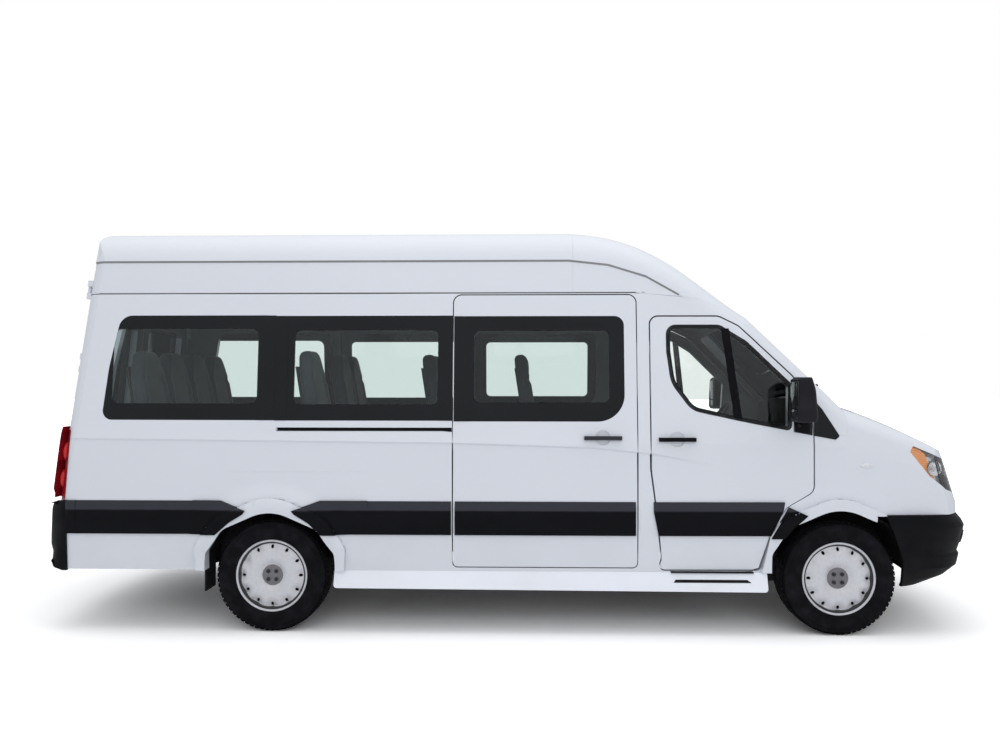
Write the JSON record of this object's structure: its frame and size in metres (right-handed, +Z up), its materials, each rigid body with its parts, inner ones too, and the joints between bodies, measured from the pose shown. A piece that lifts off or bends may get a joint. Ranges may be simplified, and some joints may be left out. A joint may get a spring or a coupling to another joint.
{
  "type": "minibus",
  "caption": "High-roof minibus with a short bonnet, one side sliding door, tinted saloon windows, twin rear doors and seats for passengers and driver.",
  "frame": {"origin": "on the ground under the middle of the overall length and width", "axes": "+X forward, +Y to the vehicle's left, +Z up"},
  "size_m": [6.0438, 2.526, 2.6099],
  "materials": {
    "black_plastic": "matte",
    "cast_steel": "rough",
    "clear_glass": "clear",
    "cover_silver": "satin",
    "dash_plastic": "grained",
    "grey_alloy": "rough",
    "lamp_bowl": "bright",
    "lamp_lens": "clear",
    "pipe_steel": "dull",
    "plate_paint": "satin",
    "red_lens": "gloss",
    "seat_cloth": "woven",
    "tinted_glass": "clear",
    "trim_plastic": "textured",
    "tyre_rubber": "matte",
    "under_steel": "satin",
    "white_paint": "gloss"
  },
  "bodies": {
    "body": {"chassis_frame": "under_steel", "cowl_panel": "black_plastic", "dashboard": "dash_plastic", "engine": "grey_alloy", "exhaust": "pipe_steel", "floor_pan": "under_steel", "front_bumper": "black_plastic", "front_panel": "white_paint", "front_seats": "seat_cloth", "front_suspension": "under_steel", "fuel_tank": "trim_plastic", "grille": "black_plastic", "headlamp_housings": "lamp_bowl", "headlamp_lenses": "lamp_lens", "number_plates": "plate_paint", "passenger_seats": "seat_cloth", "propshaft": "cast_steel", "rear_axle": "cast_steel", "rear_bumper": "black_plastic", "rear_hinges": "black_plastic", "rear_springs": "under_steel", "roof_panel": "white_paint", "seat_frames": "under_steel", "side_trim": "black_plastic", "side_wall_left": "white_paint", "side_wall_right": "white_paint", "side_windows": "tinted_glass", "sliding_door": "white_paint", "sliding_door_fittings": "black_plastic", "sliding_door_window": "tinted_glass", "spare_wheel": "tyre_rubber", "tail_lamps": "red_lens", "wheel_housings": "black_plastic", "windscreen": "clear_glass", "wipers": "black_plastic"},
    "front_door_right": {"front_door_fittings_right": "black_plastic", "front_door_right": "white_paint", "front_door_window_right": "clear_glass"},
    "front_door_left": {"front_door_fittings_left": "black_plastic", "front_door_left": "white_paint", "front_door_window_left": "clear_glass"},
    "rear_door_right": {"rear_door_fittings_right": "black_plastic", "rear_door_right": "white_paint", "rear_door_window_right": "tinted_glass"},
    "rear_door_left": {"rear_door_fittings_left": "black_plastic", "rear_door_left": "white_paint", "rear_door_window_left": "tinted_glass"},
    "bonnet": {"bonnet": "white_paint"},
    "knuckle_right": {"knuckle_right": "cast_steel"},
    "knuckle_left": {"knuckle_left": "cast_steel"},
    "steering_wheel": {"steering_wheel": "dash_plastic"},
    "wheel_front_right": {"tyre_front_right": "tyre_rubber", "rim_front_right": "cover_silver"},
    "wheel_front_left": {"tyre_front_left": "tyre_rubber", "rim_front_left": "cover_silver"},
    "wheel_rear_right": {"tyre_rear_right": "tyre_rubber", "rim_rear_right": "cover_silver"},
    "wheel_rear_left": {"tyre_rear_left": "tyre_rubber", "rim_rear_left": "cover_silver"}
  },
  "joints": [
    {"name": "steer_left", "type": "hinge", "parent": "body", "child": "knuckle_left", "pos_m": [2.08, 0.745, 0.356], "axis": [0, 0, 1], "range_deg": [-33, 33]},
    {"name": "steer_right", "type": "hinge", "parent": "body", "child": "knuckle_right", "pos_m": [2.08, -0.745, 0.356], "axis": [0, 0, 1], "range_deg": [-33, 33]},
    {"name": "steering_wheel_turn", "type": "hinge", "parent": "body", "child": "steering_wheel", "pos_m": [1.64, 0.45, 1.262], "axis": [-0.848, 0, 0.5299], "range_deg": [-496, 496]},
    {"name": "front_right_spin", "type": "hinge", "parent": "knuckle_right", "child": "wheel_front_right", "pos_m": [2.08, -0.862, 0.356], "axis": [0, 1, 0], "continuous": true},
    {"name": "front_left_spin", "type": "hinge", "parent": "knuckle_left", "child": "wheel_front_left", "pos_m": [2.08, 0.862, 0.356], "axis": [0, 1, 0], "continuous": true},
    {"name": "rear_right_spin", "type": "hinge", "parent": "body", "child": "wheel_rear_right", "pos_m": [-1.49, -0.862, 0.356], "axis": [0, 1, 0], "continuous": true},
    {"name": "rear_left_spin", "type": "hinge", "parent": "body", "child": "wheel_rear_left", "pos_m": [-1.49, 0.862, 0.356], "axis": [0, 1, 0], "continuous": true},
    {"name": "front_door_right_hinge", "type": "hinge", "parent": "body", "child": "front_door_right", "pos_m": [1.9255, -0.98, 1], "axis": [0, 0, 1], "range_deg": [0, 70]},
    {"name": "front_door_left_hinge", "type": "hinge", "parent": "body", "child": "front_door_left", "pos_m": [1.9255, 0.98, 1], "axis": [0, 0, -1], "range_deg": [0, 70]},
    {"name": "rear_door_right_hinge", "type": "hinge", "parent": "body", "child": "rear_door_right", "pos_m": [-2.875, -0.8045, 1], "axis": [0.1113, 0, 0.9938], "range_deg": [0, 90]},
    {"name": "rear_door_left_hinge", "type": "hinge", "parent": "body", "child": "rear_door_left", "pos_m": [-2.875, 0.8045, 1], "axis": [-0.1113, 0, -0.9938], "range_deg": [0, 90]},
    {"name": "bonnet_hinge", "type": "hinge", "parent": "body", "child": "bonnet", "pos_m": [2.2565, 0, 1.412], "axis": [0, -1, 0], "range_deg": [0, 60]}
  ],
  "couplings": [
    {"joint": "steer_right", "follows": "steer_left", "ratio": 1},
    {"joint": "steering_wheel_turn", "follows": "steer_left", "ratio": 15}
  ]
}
